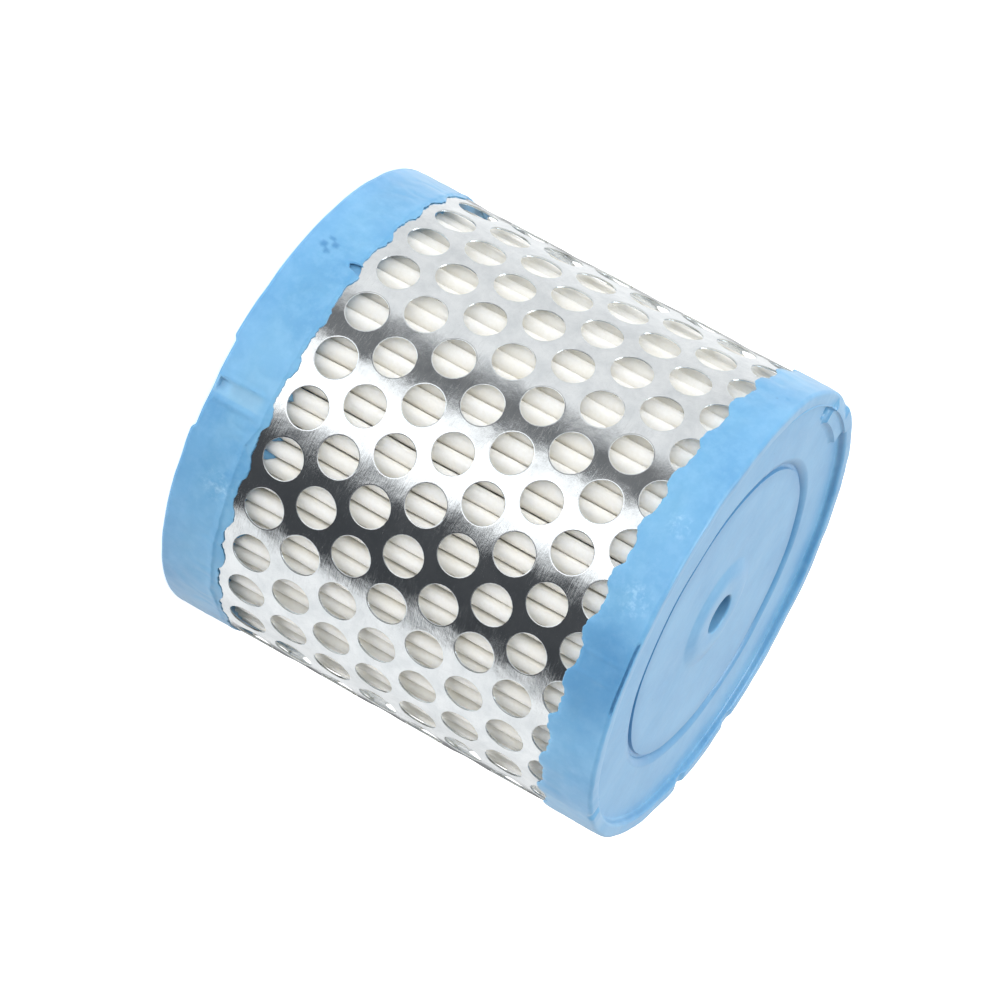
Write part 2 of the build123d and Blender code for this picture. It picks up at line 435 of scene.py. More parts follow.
def pleat_path():
    """Middle line of one pleat, from inner fold to inner fold, as (across, radius) points."""
    top = sleeve_r - 2 * sheet_steel - sleeve_gap - paper / 2
    bottom = core_r + core_gap + paper / 2
    fold = pleat_spread / 2
    inner_pitch = 2 * pi * bottom / pleats
    dip = inner_fold / 2
    crown = [
        (
            fold * cos(radians(swing)),
            top - fold_height * (1 - sin(radians(swing))) - fold_tilt * cos(radians(swing) / 2) ** 2,
        )
        for swing in range(180, -1, -20)
    ]
    down = [(-inner_pitch / 2, bottom), (-inner_pitch / 2 + 0.75 * dip, bottom + 0.35 * dip)]
    down += [(-inner_pitch / 2 + dip, bottom + dip), (-0.9 * fold, top - 2.2 * fold_height)]
    return down + crown + [(-across, r) for across, r in reversed(down[1:])]


def make_paper():
    """The paper folded to and fro between the tubes, its folds not quite even."""
    path = pleat_path()
    start_fresh()
    bpy.ops.mesh.primitive_circle_add(vertices=pleats * len(path), radius=core_r)
    pack = begin("pleated_paper")
    shape = bmesh.from_edit_mesh(pack.data)
    shape.verts.ensure_lookup_table()
    for index, point in enumerate(shape.verts):
        pleat, step = divmod(index, len(path))
        across, r = path[step]
        stray = fold_stray * waver(pleat * 3.7 * MM, 0, 5 * MM, 3) * ease(28 * MM, free_r, r)
        r += fold_reach * waver(pleat * 2.3 * MM, 0, 5 * MM, 5) * ease(30 * MM, free_r, r)
        turn = FRONT + 2 * pi * (pleat + pleat_phase) / pleats + (across + stray) / r
        point.co = Vector((r * cos(turn), r * sin(turn), paper_bottom))
    bmesh.update_edit_mesh(pack.data)
    rise = (paper_top - paper_bottom) / paper_slices
    bpy.ops.mesh.select_mode(type="EDGE")
    bpy.ops.mesh.select_all(action="SELECT")
    for _ in range(paper_slices):
        bpy.ops.mesh.extrude_edges_move(TRANSFORM_OT_translate={"value": (0, 0, rise)})
    bpy.ops.mesh.select_all(action="SELECT")
    bpy.ops.mesh.normals_make_consistent(inside=False)
    bpy.ops.object.mode_set(mode="OBJECT")

    def sway(at):
        r = hypot(at.x, at.y)
        free = ease(27 * MM, free_r, r)
        turn = atan2(at.y, at.x)
        turn += free * fold_stray / r * waver(turn * 8 * MM, at.z, 17 * MM, 11)
        r += free * fold_sway * waver(turn * 60 * MM, at.z, 13 * MM, 13)
        return Vector((r * cos(turn), r * sin(turn), at.z))

    move_points(pack, sway)
    apply_modifier(pack, "SOLIDIFY", thickness=paper, offset=0)
    finish_mesh(pack, merge=0.002 * MM, angle=50)
    return pack


# ---------------------------------------------------------------- urethane caps

def spun(name, outline, rounds):
    """Ring spun round the axis from a closed outline of (radius, height) points.

    rounds lists (corner's number, radius, segments). Corners are rounded last to first, so
    that the earlier corners keep their numbers.
    """
    start_fresh()
    bpy.ops.mesh.primitive_circle_add(vertices=len(outline), radius=1)
    piece = begin(name)
    shape = bmesh.from_edit_mesh(piece.data)
    shape.verts.ensure_lookup_table()
    for point, (r, height) in zip(shape.verts, outline):
        point.co = Vector((r, 0, height))
    bmesh.update_edit_mesh(piece.data)
    for corner, radius, segments in rounds:
        r, height = outline[corner]
        pick(lambda at: hypot(at.x - r, at.z - height) < 0.001 * MM)
        bpy.ops.mesh.bevel(
            offset=radius, offset_type="OFFSET", segments=segments, profile=0.5, affect="VERTICES"
        )
    bpy.ops.mesh.select_mode(type="EDGE")
    bpy.ops.mesh.select_all(action="SELECT")
    bpy.ops.mesh.spin(steps=spin_steps, angle=2 * pi, center=(0, 0, 0), axis=(0, 0, 1))
    bpy.ops.mesh.select_all(action="SELECT")
    bpy.ops.mesh.remove_doubles(threshold=0.003 * MM)
    bpy.ops.mesh.normals_make_consistent(inside=False)
    bpy.ops.object.mode_set(mode="OBJECT")
    return piece


def split(start, end, parts):
    """Points that divide the line from start to end, without the start and with the end."""
    return [
        (
            start[0] + (end[0] - start[0]) * (part + 1) / parts,
            start[1] + (end[1] - start[1]) * (part + 1) / parts,
        )
        for part in range(parts)
    ]


def from_hole(turn):
    """Distance round the sleeve from the nearest hole of an even hoop."""
    holes = (turn - FRONT) * sleeve_r / arc_pitch
    return (holes - round(holes)) * arc_pitch


def azimuth(at):
    """Azimuth in degrees, from -180 to 180."""
    return degrees(atan2(at.y, at.x))


def make_closed_cap():
    """Cap with a rim, a flange, a sunk disc and a low boss round the stud hole."""
    flange_z = overall_height - rim_height
    floor_z = flange_z - recess_depth
    web_z = overall_height - web_depth
    pool_z = overall_height - closed_pool_depth
    rim_r = cap_r - rim_width
    skin_r = sleeve_r + skin_gap
    inside_r = sleeve_r - sheet_steel - bond_line

    # Underside from the stud hole outwards, skin down the sleeve, lip, side, rim, face and boss
    outline = [(stud_hole_r, web_z), (core_r - sheet_steel, web_z), (core_r - sheet_steel, pool_z)]
    outline += [(inside_r, pool_z), (inside_r, sleeve_top + bond_line)]
    outline += [(skin_r, sleeve_top + bond_line)]
    outline += split((skin_r, sleeve_top + bond_line), (skin_r, closed_lip), 8)
    outline += [(cap_r - 0.25 * MM, closed_lip - 0.05 * MM), (cap_r - 0.05 * MM, closed_lip + 0.12 * MM)]
    outline += split((cap_r, closed_lip + 0.4 * MM), (cap_r, overall_height - edge_round), 16)
    outer_edge = len(outline)
    outline += [(cap_r, overall_height)]
    outline += [(rim_r, overall_height)]
    outline += [(rim_r - rim_slope, flange_z)]
    outline += split((rim_r - rim_slope, flange_z), (recess_floor_r + recess_slope, flange_z), 26)
    recess_edge = len(outline) - 1
    outline += [(recess_floor_r + groove_edge, floor_z)]
    outline += [(recess_floor_r + out, floor_z - groove_depth) for out in groove_foot]
    outline += [(recess_floor_r, floor_z)]
    outline += split((recess_floor_r, floor_z), (boss_foot_r, floor_z), 6)
    boss_foot = len(outline) - 1
    outline += [(boss_top_r, floor_z + boss_height), (stud_hole_r, floor_z + boss_height)]

    rounds = [
        (boss_foot + 2, 0.35 * MM, 3),
        (boss_foot + 1, 0.7 * MM, 4),
        (boss_foot, 0.4 * MM, 3),
        (recess_edge, 0.15 * MM, 2),
        (outer_edge + 2, rim_round, 4),
        (outer_edge + 1, rim_round, 4),
        (outer_edge, edge_round, 9),
    ]
    cap = spun("closed_urethane_cap", outline, rounds)
    move_points(cap, closed_cap_detail)
    return cap


def closed_lip_shift(turn):
    """How far the closed end's lip lies above its plain height: pulled back over each hole."""
    away = abs(from_hole(turn))
    lobe = lip_lobe * (1 - ease(1.5 * MM, 3.7 * MM, away))
    arc = turn * sleeve_r
    lean = -closed_lip_lean * cos(turn)
    drift = 0.22 * MM * waver(arc, 0, 11 * MM, 21)
    torn = 0.17 * MM * waver(arc, 0, 1.3 * MM, 23) + 0.10 * MM * waver(arc, 0, 0.6 * MM, 25)
    return lobe + lean + drift + torn + 0.05 * MM


def closed_cap_detail(at):
    """Lip, moulding flaws and unevenness of the closed end's cap."""
    r, turn, z = hypot(at.x, at.y), atan2(at.y, at.x), at.z
    where, arc, top = degrees(turn), turn * sleeve_r, overall_height

    # Lip, and the skin over the last hoop of holes
    if r > sleeve_r - 0.1 * MM:
        near_lip = 1 - ease(closed_lip, closed_lip + 4 * MM, z)
        z += closed_lip_shift(turn) * near_lip
    if r > sleeve_r + 0.15 * MM and z < top - 1.2 * MM:
        over_hole = 1 - ease(2.0 * MM, 3.4 * MM, abs(from_hole(turn)))
        last_hoop = first_hoop + (hoops - 1) * hoop_spacing
        r -= 0.08 * MM * over_hole * window(z, last_hoop - 3 * MM, last_hoop + 3 * MM, 1 * MM)
        r += swell * waver(arc, z, 7 * MM, 31) + ripple * waver(arc, z, ripple_size, 33)
        lines = sum(window(where, line - 0.15, line + 0.15, 0.4) for line in side_lines)
        r += 0.11 * MM * lines * window(z, 69.5 * MM, 76.4 * MM, 1 * MM)
        r = max(r, sleeve_r + 0.08 * MM)

    # Slot under the rim's edge, with its swollen lower side
    if r > cap_r - 0.8 * MM:
        slot = window(where, *side_slot, 1.0)
        r -= 0.55 * MM * slot * window(z, top - 0.50 * MM, top - 0.22 * MM, 0.08 * MM)
        r += 0.12 * MM * slot * window(z, top - 1.05 * MM, top - 0.85 * MM, 0.15 * MM)

    # Rim and face
    if z > top - rim_height - 1.4 * MM and r > stud_hole_r + 0.5 * MM:
        z += 0.05 * MM * waver(at.x, at.y, 9 * MM, 41)
        if r > cap_r - 3.2 * MM:
            rim = 0.10 * MM * waver(arc, 0, 7 * MM, 45) + 0.02 * MM * waver(arc, 0, 2 * MM, 47)
            z += min(rim, 0.05 * MM) * ease(cap_r - 2.4 * MM, cap_r - 2 * MM, r)
            for nick, span, depth in rim_nicks:
                cut = window(where, nick - span / 2, nick + span / 2, 1.6)
                z -= depth * MM * cut * ease(cap_r - 2.6 * MM, cap_r - 2.1 * MM, r)
            starts, full_from, full_to, ends = low_rim
            low = ease(starts, full_from, where % 360) * (1 - ease(full_to, ends, where % 360))
            z -= low_rim_depth * MM * low * ease(cap_r - 2.6 * MM, cap_r - 2.2 * MM, r)
        tab_r = [edge * MM for edge in flash_tab_r]
        tab = window(where % 360, *flash_tab, 0.7) * window(r, *tab_r, 0.2 * MM)
        z += flash_tab_height * MM * tab
        for void, void_r, size in face_voids:
            middle = (void_r * MM * cos(radians(void)), void_r * MM * sin(radians(void)))
            away = hypot(at.x - middle[0], at.y - middle[1])
            z -= face_void_depth * MM * (1 - ease(0.45 * size * MM, size * MM, away))
    lean = face_lean * (1 - at.y / cap_r) / 2
    z = min(z, top) - lean * ease(top - 8 * MM, top - 2 * MM, at.z)
    return Vector((r * cos(turn), r * sin(turn), z))


def make_open_cap():
    """Cap of the open end: rim, flange, sealing lip and the skin that climbs the sleeve."""
    rim_r = open_cap_r - rim_width
    skin_r = sleeve_r + skin_gap
    film_r = sleeve_r + film
    step_z = open_lip - film_height
    inside_r = sleeve_r - sheet_steel - bond_line

    # Opening's edge, sealing lip, flange, rim, side, film over the sleeve, and back inside it
    outline = [(opening_r, opening_chamfer), (opening_r + opening_chamfer, 0), (seal_lip_r, 0)]
    outline += [(seal_lip_r + seal_lip_slope, rim_height)]
    outline += split((seal_lip_r + seal_lip_slope, rim_height), (rim_r - rim_slope, rim_height), 4)
    flange_end = len(outline) - 1
    outline += [(rim_r, 0), (open_cap_r, 0)]
    outline += split((open_cap_r, edge_round), (open_cap_r, step_z - 0.15 * MM), 16)
    outline += [(open_cap_r - 0.05 * MM, step_z), (film_r, step_z + 0.12 * MM)]
    outline += split((film_r, step_z + 0.12 * MM), (film_r, open_lip - 0.1 * MM), 3)
    outline += [(skin_r + 0.08 * MM, open_lip), (skin_r, open_lip - 0.02 * MM)]
    outline += split((skin_r, open_lip - 0.02 * MM), (skin_r, sleeve_bottom - bond_line), 5)
    outline += [(inside_r, sleeve_bottom - bond_line), (inside_r, open_pool)]
    outline += split((inside_r, open_pool), (core_r, open_pool), 6)
    outline += [(core_r, sleeve_bottom - bond_line), (core_r - sheet_steel, sleeve_bottom - bond_line)]
    outline += [(core_r - sheet_steel, opening_depth), (opening_r, opening_depth)]

    rounds = [
        (flange_end + 2, edge_round, 9),
        (flange_end + 1, rim_round, 4),
        (flange_end, rim_round, 4),
    ]
    cap = spun("open_urethane_cap", outline, rounds)
    move_points(cap, open_cap_detail)
    return cap


def open_lip_shift(turn):
    """How far the open end's lip lies above its plain height: it fills each hole to the top."""
    away = abs(from_hole(turn))
    arc = turn * sleeve_r
    hole_top = first_hoop + sqrt(max((hole_r + 0.1 * MM) ** 2 - away * away, 0))
    slack = 0.35 * MM * waver(arc, 0, 19 * MM, 51)
    base = open_lip - 0.15 * MM + slack + 0.12 * MM * waver(arc, 0, 3 * MM, 53)
    torn = 0.15 * MM * waver(arc, 0, 1.1 * MM, 55) + 0.10 * MM * waver(arc, 0, 0.5 * MM, 57)
    shift = max(hole_top, base) - open_lip + torn
    void = window(degrees(turn), *lip_void, 0.7)
    return shift - lip_void_depth * MM * void


def open_cap_detail(at):
    """Lip, moulding flaws and unevenness of the open end's cap."""
    r, turn, z = hypot(at.x, at.y), atan2(at.y, at.x), at.z
    where, arc = degrees(turn), turn * sleeve_r
    step_z = open_lip - film_height
    step = step_z

    # Lip, and the step from the full skin to the film
    if r > sleeve_r - 0.1 * MM and z > step_z - 2.5 * MM:
        lip = open_lip + open_lip_shift(turn)
        full = 0.8 - 0.75 * window(where, *thin_film, 6)
        ragged = 0.25 * MM * waver(arc, 0, 8 * MM, 61) + 0.12 * MM * waver(arc, 0, 1.6 * MM, 63)
        step = min(step_z + ragged + 1.15 * MM * full, lip - 0.3 * MM)
        if z > step_z + 0.05 * MM:
            share = (z - step_z) / (open_lip - step_z)
            z = step + (lip - step) * share
        else:
            z += (step - step_z) * ease(step_z - 2.5 * MM, step_z, z)

    # Side: vent channel between its ridges, ledge at the step and the print of the holes' rims
    if r > sleeve_r + 0.1 * MM and z > rim_height:
        r += swell * waver(arc, z, 8 * MM, 65) + ripple * waver(arc, z, ripple_size, 67)
        channel = ease(vent[0], vent[1], where) * (1 - ease(vent[2], vent[3], where))
        deep = 0.2 + 0.6 * (1 - ease(sleeve_bottom - 1.6 * MM, sleeve_bottom - 0.4 * MM, z))
        ridges = sum(height * window(where, *ridge) for height, *ridge in vent_ridges)
        r -= (deep * channel - ridges) * MM * window(z, 0.3 * MM, 8.4 * MM, 0.8 * MM)
        ledge = 0.09 + 0.1 * window(where, -74, -20, 4)
        r += ledge * MM * window(z, step - 0.45 * MM, step - 0.02 * MM, 0.35 * MM)
        rim_print = abs(hypot(from_hole(turn), z - first_hoop) - hole_r)
        r -= 0.05 * MM * (1 - ease(0.1 * MM, 0.5 * MM, rim_print))
        if z > sleeve_bottom - 0.4 * MM:
            r = max(r, sleeve_r + 0.06 * MM)

    # Rim that stands on the table
    if z < 2 * MM and r > open_cap_r - 2.6 * MM:
        low = 1 - ease(0.5 * MM, 2 * MM, z)
        uneven = short_rim_height * window(where, *short_rim, 1.5)
        uneven += 0.12 * max(waver(arc, 0, 6 * MM, 69), 0) + open_rim_lean * max(-at.x, 0) / cap_r
        z += uneven * MM * low

    # Urethane that has climbed between a few pleats, inside the sleeve
    if abs(z - open_pool) < 2 * touch and r < sleeve_r:
        climb = max(rise * window(where, spot - 0.5, spot + 0.5, 1.1) for spot, rise in paper_climbs)
        z += climb * MM * window(r, 30 * MM, 36.6 * MM, 0.5 * MM)
    return Vector((r * cos(turn), r * sin(turn), max(z, 0)))


def mark(cap, name, rule):
    """Attribute on the cap's skin, worked out from (azimuth in degrees, height, radius)."""
    made = cap.data.attributes.new(name, "FLOAT", "POINT")
    for index, point in enumerate(cap.data.vertices):
        at = point.co
        made.data[index].value = rule(azimuth(at), at.z, hypot(at.x, at.y))


def thin_skin(where, z, r):
    """How thin the urethane lies on the bright sheet between some of the filled holes."""
    away = hypot(from_hole(radians(where)), z - first_hoop)
    between = ease(hole_r - 0.3 * MM, hole_r + 0.3 * MM, away)
    near = max(window(where, web - 3, web + 3, 1.2) for web in thin_webs)
    shown = 0.2 * window(z, first_hoop - 2.2 * MM, first_hoop + 4 * MM, 0.8 * MM) * between * near
    channel = 0.8 * window(where, -80.3, -77, 0.6) * window(z, 1 * MM, 8.4 * MM, 1.6 * MM)
    return max(shown, channel) if r > sleeve_r - 1.2 * MM and z < sleeve_top / 2 else 0


def nearness(where, z, spot):
    """Distance from a spot (azimuth, height, size) in degrees and mm, in sizes of the spot."""
    spot_azimuth, height, size = spot
    return hypot((where - spot_azimuth) * radians(1) * sleeve_r, z - height * MM) / (size * MM)


def scuffed(where, z, r):
    """How scuffed the skin is: most in a few handled places."""
    if r < sleeve_r - 1 * MM:
        return 0
    return 1 - ease(0.4, 1.0, min(nearness(where, z, spot) for spot in scuffs))


def dirt_and_painted_shade(where, z, r):
    """How dark the skin is: dirt smudges, and painted shade on the closed cap's side and in its recess.
    """
    if r < sleeve_r:
        # Painted shade: dark lines in the groove round the sunk disc and along the recess's upper corner
        groove = window(r, recess_floor_r, recess_floor_r + 0.95 * MM, 0.25 * MM)
        corner_r = recess_floor_r + recess_slope
        corner = window(r, corner_r - 0.35 * MM, corner_r + 0.05 * MM, 0.2 * MM)
        return max(0.5 * groove, 0.38 * corner) if z > sleeve_top else 0
    small = 1 - ease(0.35, 1.0, min(nearness(where, z, spot) for spot in smudges))
    # Wide patch of painted shade on the closed cap's side, where less light falls
    patch_azimuth, height, size = painted_shade_patch
    across = (where - patch_azimuth) * radians(1) * sleeve_r
    broad = 1 - ease(0.35, 1.0, hypot(across, 1.5 * (z - height * MM)) / (size * MM))
    return max(small, 0.7 * broad)


# ---------------------------------------------------------------- materials

def colour(code):
    """Linear colour of an sRGB hex code."""
    shares = [int(code[i:i + 2], 16) / 255 for i in (0, 2, 4)]
    return tuple(s / 12.92 if s <= 0.04045 else ((s + 0.055) / 1.055) ** 2.4 for s in shares) + (1,)


def add(tree, kind, inputs=None, **settings):
    """Adds a node with its settings, and its inputs as values or links."""
    made = tree.nodes.new("ShaderNode" + kind)
    for name, value in settings.items():
        setattr(made, name, value)
    for name, value in (inputs or {}).items():
        if isinstance(value, bpy.types.NodeSocket):
            tree.links.new(value, made.inputs[name])
        else:
            made.inputs[name].default_value = value
    return made


def new_material(name):
    """An empty material, its node tree and its surface shader."""
    material = bpy.data.materials.new(name)
    material.use_nodes = True
    tree = material.node_tree
    tree.nodes.clear()
    shader = add(tree, "BsdfPrincipled")
    add(tree, "OutputMaterial", {"Surface": shader.outputs["BSDF"]})
    return material, tree, shader


def per_mm(size):
    """Scale of a pattern whose features are this many millimetres."""
    return 1 / (size * MM)


def mixed(tree, share, first, second):
    """Colour between two colours or sockets. Inputs 6 and 7 of the node are its two colours."""
    mix = add(tree, "Mix", {0: share, 6: first, 7: second}, data_type="RGBA")
    return mix.outputs[2]


def fractal(tree, where, size, detail, roughness=0.5):
    """Noise with features of this many millimetres, from 0 to 1."""
    made = add(tree, "TexNoise", {
        "Vector": where, "Scale": per_mm(size), "Detail": detail, "Roughness": roughness,
    })
    return made.outputs[0]


def ranged(tree, value, low, high, to_low=0.0, to_high=1.0):
    """Value carried from one range to another, clamped."""
    made = add(tree, "MapRange", {0: value, 1: low, 2: high, 3: to_low, 4: to_high})
    return made.outputs[0]


def make_urethane():
    """Moulded integral-skin polyurethane: soft satin skin, cloudy light blue, fine unevenness."""
    material, tree, shader = new_material("moulded_urethane")
    where = add(tree, "TexCoord").outputs["Object"]
    cloud = fractal(tree, where, 11, 3.0, 0.6)
    mottle = fractal(tree, where, 2.2, 4.0, 0.65)
    pores = add(tree, "TexVoronoi", {"Vector": where, "Scale": per_mm(5.5), "Randomness": 1.0})
    thin = add(tree, "Attribute", attribute_name="thin_skin")
    base = mixed(tree, ranged(tree, cloud, 0.35, 0.65), colour("5d98c3"), colour("6ca4cb"))
    base = mixed(tree, ranged(tree, mottle, 0.45, 0.75, 0, 0.45), base, colour("80b3d6"))
    speck = ranged(tree, pores.outputs["Distance"], 0.02, 0.05, 0.55, 0)
    base = mixed(tree, speck, base, colour("4a7ca6"))
    base = mixed(tree, ranged(tree, thin.outputs["Fac"], 0, 1, 0, 0.4), base, colour("9cc6dc"))
    hair = fractal(tree, where, 0.9, 5.0, 0.7)
    handled = add(tree, "Attribute", attribute_name="scuffed")
    scuff = ranged(tree, hair, 0.48, 0.7)
    worn = ranged(tree, handled.outputs["Fac"], 0, 1, 0.05, 0.45)
    scuff = add(tree, "Math", {0: scuff, 1: worn}, operation="MULTIPLY").outputs[0]
    base = mixed(tree, scuff, base, colour("b0d4ea"))
    # Darker blue by the attribute: small smudges of dirt, and painted shade on the closed cap
    dirt_and_shade_node = add(tree, "Attribute", attribute_name="dirt_and_painted_shade")
    base = mixed(tree, ranged(tree, dirt_and_shade_node.outputs["Fac"], 0, 1, 0, 0.7), base, colour("3173a6"))
    tree.links.new(base, shader.inputs["Base Color"])
    rough = ranged(tree, mottle, 0.3, 0.7, 0.28, 0.36)
    tree.links.new(rough, shader.inputs["Roughness"])
    shader.inputs["IOR"].default_value = 1.47
    shader.inputs["Sheen Weight"].default_value = 0.15
    shader.inputs["Sheen Roughness"].default_value = 0.4
    shader.inputs["Subsurface Weight"].default_value = 0.12
    shader.inputs["Subsurface Radius"].default_value = (0.3, 0.7, 1.0)
    shader.inputs["Subsurface Scale"].default_value = 1.5 * MM
    grain = fractal(tree, where, 3.2, 4.0)
    bump = add(tree, "Bump", {"Strength": 0.4, "Distance": 0.12 * MM, "Height": grain})
    tree.links.new(bump.outputs["Normal"], shader.inputs["Normal"])
    return material


def make_tinplate(name, mapping):
    """Bright rolled tinplate: a mirror dulled by fine scratches that run along the sheet's x.

    mapping says where x comes from: the flat sheet's UV map or the piece's Object coordinates.
    """
    material, tree, shader = new_material(name)
    coordinates = add(tree, "TexCoord")
    if mapping == "UV":
        flat = add(tree, "Mapping", {"Vector": coordinates.outputs["UV"], "Scale": (uv_size,) * 3})
        where = flat.outputs[0]
    else:
        where = coordinates.outputs["Object"]
    drawn = add(tree, "Mapping", {"Vector": where, "Scale": (1 / 7, 1, 1)})
    grain = fractal(tree, drawn.outputs[0], 0.3, 4.0, 0.65)
    patch = fractal(tree, where, 9, 2.0)
    rubbed = ranged(tree, patch, 0.42, 0.66)
    stain = fractal(tree, where, 4, 5.0, 0.6)
    shader.inputs["Metallic"].default_value = 1.0
    tone = mixed(tree, ranged(tree, stain, 0.35, 0.65), colour("e2e7ea"), colour("f1f5f7"))
    tree.links.new(tone, shader.inputs["Base Color"])
    rough = ranged(tree, grain, 0.45, 0.75, 0.05, 0.26)
    rough = add(tree, "Math", {0: rubbed, 1: 0.05, 2: rough}, operation="MULTIPLY_ADD").outputs[0]
    tree.links.new(rough, shader.inputs["Roughness"])
    dents = fractal(tree, where, 2.5, 3.0)
    wave = add(tree, "Bump", {"Strength": 0.6, "Distance": 0.06 * MM, "Height": dents})
    depth = ranged(tree, rubbed, 0, 1, 0.3, 1.0)
    scratch = add(tree, "Bump", {
        "Strength": depth, "Distance": 0.035 * MM, "Height": grain, "Normal": wave.outputs[0],
    })
    tree.links.new(scratch.outputs["Normal"], shader.inputs["Normal"])
    return material


def make_paper_material():
    """Resin-stiffened filter paper: matt warm white felt of fibres."""
    material, tree, shader = new_material("pleated_filter_paper")
    where = add(tree, "TexCoord").outputs["Object"]
    fibre = fractal(tree, where, 0.5, 5.0, 0.7)
    cloud = fractal(tree, where, 7, 2.0)
    base = mixed(tree, ranged(tree, cloud, 0.35, 0.65), colour("f7f3e8"), colour("fbf8f0"))
    base = mixed(tree, ranged(tree, fibre, 0.35, 0.75, 0, 0.3), base, colour("e3dbc4"))
    tree.links.new(base, shader.inputs["Base Color"])
    shader.inputs["Roughness"].default_value = 0.85
    shader.inputs["IOR"].default_value = 1.4
    shader.inputs["Sheen Weight"].default_value = 0.3
    shader.inputs["Sheen Roughness"].default_value = 0.5
    shader.inputs["Subsurface Weight"].default_value = 0.8
    shader.inputs["Subsurface Radius"].default_value = (1.0, 0.95, 0.85)
    shader.inputs["Subsurface Scale"].default_value = 1.6 * MM
    bump = add(tree, "Bump", {"Strength": 0.4, "Distance": 0.05 * MM, "Height": fibre})
    tree.links.new(bump.outputs["Normal"], shader.inputs["Normal"])
    return material


def make_zinc_steel():
    """Zinc-plated strip steel: dull grey with a faint spangle."""
    material, tree, shader = new_material("zinc_plated_steel")
    where = add(tree, "TexCoord").outputs["Object"]
    spangle = add(tree, "TexVoronoi", {"Vector": where, "Scale": per_mm(2.5)})
    grain = fractal(tree, where, 0.5, 4.0)
    tone = mixed(tree, spangle.outputs["Color"], colour("b4b7bb"), colour("c6c9cc"))
    tree.links.new(tone, shader.inputs["Base Color"])
    shader.inputs["Metallic"].default_value = 1.0
    rough = ranged(tree, grain, 0.3, 0.7, 0.32, 0.5)
    tree.links.new(rough, shader.inputs["Roughness"])
    bump = add(tree, "Bump", {"Strength": 0.3, "Distance": 0.02 * MM, "Height": grain})
    tree.links.new(bump.outputs["Normal"], shader.inputs["Normal"])
    return material


def paint(piece, material):
    """Gives the whole piece one material."""
    piece.data.materials.clear()
    piece.data.materials.append(material)


# ---------------------------------------------------------------- studio

def make_floor():
    """Plain white table top. It glows a little, so that it stays white round the part."""
    start_fresh()
    bpy.ops.mesh.primitive_plane_add(size=table_size)
    floor = bpy.context.object
    floor.name = "table_top"
    material, tree, shader = new_material("white_laminate")
    shader.inputs["Base Color"].default_value = colour("f4f4f4")
    shader.inputs["Roughness"].default_value = 0.9
    shader.inputs["Specular IOR Level"].default_value = 0.0
    shader.inputs["Emission Color"].default_value = (1, 1, 1, 1)
    shader.inputs["Emission Strength"].default_value = 0.75
    paint(floor, material)
    floor.visible_glossy = False


def card(tree, angle, z, low, high, soft_low, soft_high, lean_low, lean_high, heights):
    """Share of a dark card between two azimuths in degrees.

    Its sides are soft over so many degrees, and lean by so many degrees over the low heights
    that the sleeve mirrors to the eye. heights is (start, end, share before, share after).
    """
    rise = ranged(tree, z, mirrored_low, mirrored_high, -0.5, 0.5)
    at_low = add(tree, "Math", {0: rise, 1: radians(-lean_low), 2: angle}, operation="MULTIPLY_ADD")
    at_high = add(tree, "Math", {0: rise, 1: radians(-lean_high), 2: angle}, operation="MULTIPLY_ADD")
    low, high = radians(low), radians(high)
    half_low, half_high = radians(soft_low / 2), radians(soft_high / 2)
    edges = (
        (at_low.outputs[0], low - half_low, low + half_low, 0.0, 1.0),
        (at_high.outputs[0], high - half_high, high + half_high, 1.0, 0.0),
        (z,) + heights,
    )
    share = 1.0
    for value, start, end, before, after in edges:
        edge = add(
            tree, "MapRange", {0: value, 1: start, 2: end, 3: before, 4: after},
            interpolation_type="SMOOTHSTEP",
        )
        share = add(tree, "Math", {0: edge.outputs[0], 1: share}, operation="MULTIPLY").outputs[0]
    return share


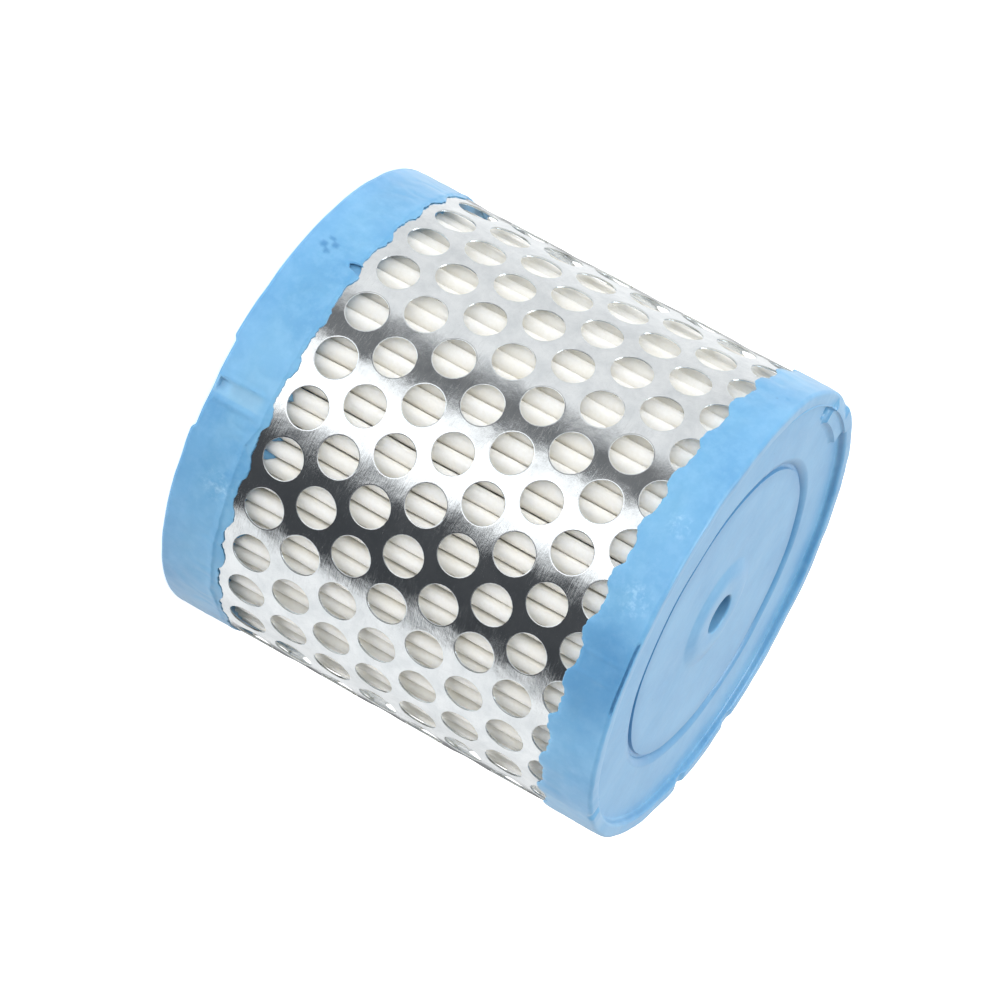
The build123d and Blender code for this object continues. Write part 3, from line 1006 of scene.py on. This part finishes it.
def make_surroundings():
    """White studio tent with a few dark cards stood round it, which the bright metal mirrors."""
    world = bpy.data.worlds.new("studio_tent")
    bpy.context.scene.world = world
    world.use_nodes = True
    tree = world.node_tree
    tree.nodes.clear()
    parts = add(tree, "SeparateXYZ", {0: add(tree, "TexCoord").outputs["Generated"]})
    x, y, z = (parts.outputs[i] for i in range(3))
    angle = add(tree, "Math", {0: y, 1: x}, operation="ARCTAN2").outputs[0]
    walls = add(tree, "ValToRGB", {"Fac": ranged(tree, angle, -pi, pi)})
    walls.color_ramp.interpolation = "EASE"
    stops = (                          # azimuth in degrees, brightness
        (-180, 0.82), (-150, 0.86), (-110, 1.15), (-90, 1.6), (-72, 1.3), (-20, 0.95),
        (35, 0.97), (52, 0.85), (68, 0.95), (130, 1.02), (150, 0.92), (168, 0.82), (180, 0.82),
    )
    ramp = walls.color_ramp.elements
    while len(ramp) < len(stops):
        ramp.new(0.5)
    for element, (turn, level) in zip(ramp, stops):
        element.position = (turn + 180) / 360
        element.color = (level, level, level, 1)
    level = walls.outputs[0]

    # Heights where the low cards end and where the high one begins
    below, above = (0.02, 0.18, 1.0, 0.0), (0.05, 0.30, 0.0, 1.0)

    # from, to, softness of both sides, lean of both sides, heights, darkness
    cards = (
        (-135, -112, 16, 8, 0, 0, below, 0.83),
        (-69, -14.8, 18, 10, -6, 3.5, below, 0.95),
        (72, 88, 8, 8, 0, 0, below, 0.8),
        (105, 111, 4, 4, 0, 0, below, 0.6),
        (-95, 15, 50, 50, 0, 0, above, 0.75),
    )
    for low, high, soft_low, soft_high, lean_low, lean_high, heights, darkness in cards:
        share = card(tree, angle, z, low, high, soft_low, soft_high, lean_low, lean_high, heights)
        share = add(tree, "Math", {0: share, 1: darkness}, operation="MULTIPLY").outputs[0]
        level = mixed(tree, share, level, colour("181d24"))

    # The tent's upper part is brighter towards -X
    side = ranged(tree, x, -1, 1, 1.05, 0.6)
    up = ranged(tree, z, 0.1, 0.5)
    side = add(tree, "Mix", {0: up, 2: 1.0, 3: side}, data_type="FLOAT").outputs[0]
    tent = add(tree, "Background", {"Color": level, "Strength": side})
    plain = add(tree, "Background", {"Color": (1, 1, 1, 1), "Strength": 1.0})
    seen = add(tree, "LightPath").outputs["Is Camera Ray"]
    both = add(tree, "MixShader", {0: seen, 1: tent.outputs[0], 2: plain.outputs[0]})
    add(tree, "OutputWorld", {"Surface": both.outputs[0]})


def heading(turn, rise):
    """Unit vector towards this azimuth and elevation, in degrees."""
    a, e = radians(turn), radians(rise)
    return Vector((cos(a) * cos(e), sin(a) * cos(e), sin(e)))


def make_softbox(name, turn, rise, distance, size, power, mirrored):
    """Square area light aimed at the middle of the part; mirrored says if the metal shows it."""
    middle = Vector((0, 0, overall_height / 2))
    lamp = bpy.data.lights.new(name, "AREA")
    lamp.size = size
    lamp.energy = power
    softbox = bpy.data.objects.new(name, lamp)
    bpy.context.scene.collection.objects.link(softbox)
    softbox.location = middle + heading(turn, rise) * distance
    softbox.rotation_euler = (-heading(turn, rise)).to_track_quat("-Z", "Y").to_euler()
    softbox.visible_glossy = mirrored


def make_camera():
    """Long lens from a little above, rolled so that the cartridge seems to lie tilted."""
    lens = bpy.data.cameras.new("view")
    lens.lens = lens_mm
    lens.sensor_width = sensor_mm
    camera = bpy.data.objects.new("view", lens)
    bpy.context.scene.collection.objects.link(camera)
    away = heading(*view_from)
    camera.location = view_aim + away * view_distance
    upright = (-away).to_track_quat("-Z", "Y")
    camera.rotation_euler = (upright @ Quaternion((0, 0, 1), radians(view_roll))).to_euler()
    bpy.context.scene.camera = camera


# ---------------------------------------------------------------- assembly

make_camera()
make_surroundings()
make_floor()
make_softbox("key_light", turn=-160, rise=73, distance=1.0, size=0.5, power=5.5, mirrored=True)
make_softbox("fill_light", turn=-104, rise=12, distance=1.1, size=0.5, power=2.5, mirrored=False)

urethane = make_urethane()
tinplate = make_tinplate("rolled_tinplate", "UV")
core_tinplate = make_tinplate("core_tinplate", "Object")
filter_paper = make_paper_material()
zinc_steel = make_zinc_steel()

sleeve = make_sleeve()
pack = make_paper()
closed_cap = make_closed_cap()
open_cap = make_open_cap()
for cap in (closed_cap, open_cap):
    finish_mesh(cap, merge=0.004 * MM, angle=40)
mark(open_cap, "thin_skin", thin_skin)
for cap in (closed_cap, open_cap):
    mark(cap, "scuffed", scuffed)
    mark(cap, "dirt_and_painted_shade", dirt_and_painted_shade)

for piece, node, slot, material in (
    (sleeve, "outer_sleeve", "tinplate", tinplate),
    (pack, "pleated_media", "filter_paper", filter_paper),
    (closed_cap, "closed_end_cap", "urethane", urethane),
    (open_cap, "open_end_cap", "urethane", urethane),
):
    paint(piece, material)
    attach(piece, "root")
    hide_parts(node)

for node, material in (
    ("inner_core", core_tinplate),
    ("pleat_seam_clip", zinc_steel),
    ("stud_load_plate", zinc_steel),
):
    paint(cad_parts[node], material)

bpy.context.scene.view_settings.view_transform = "Standard"
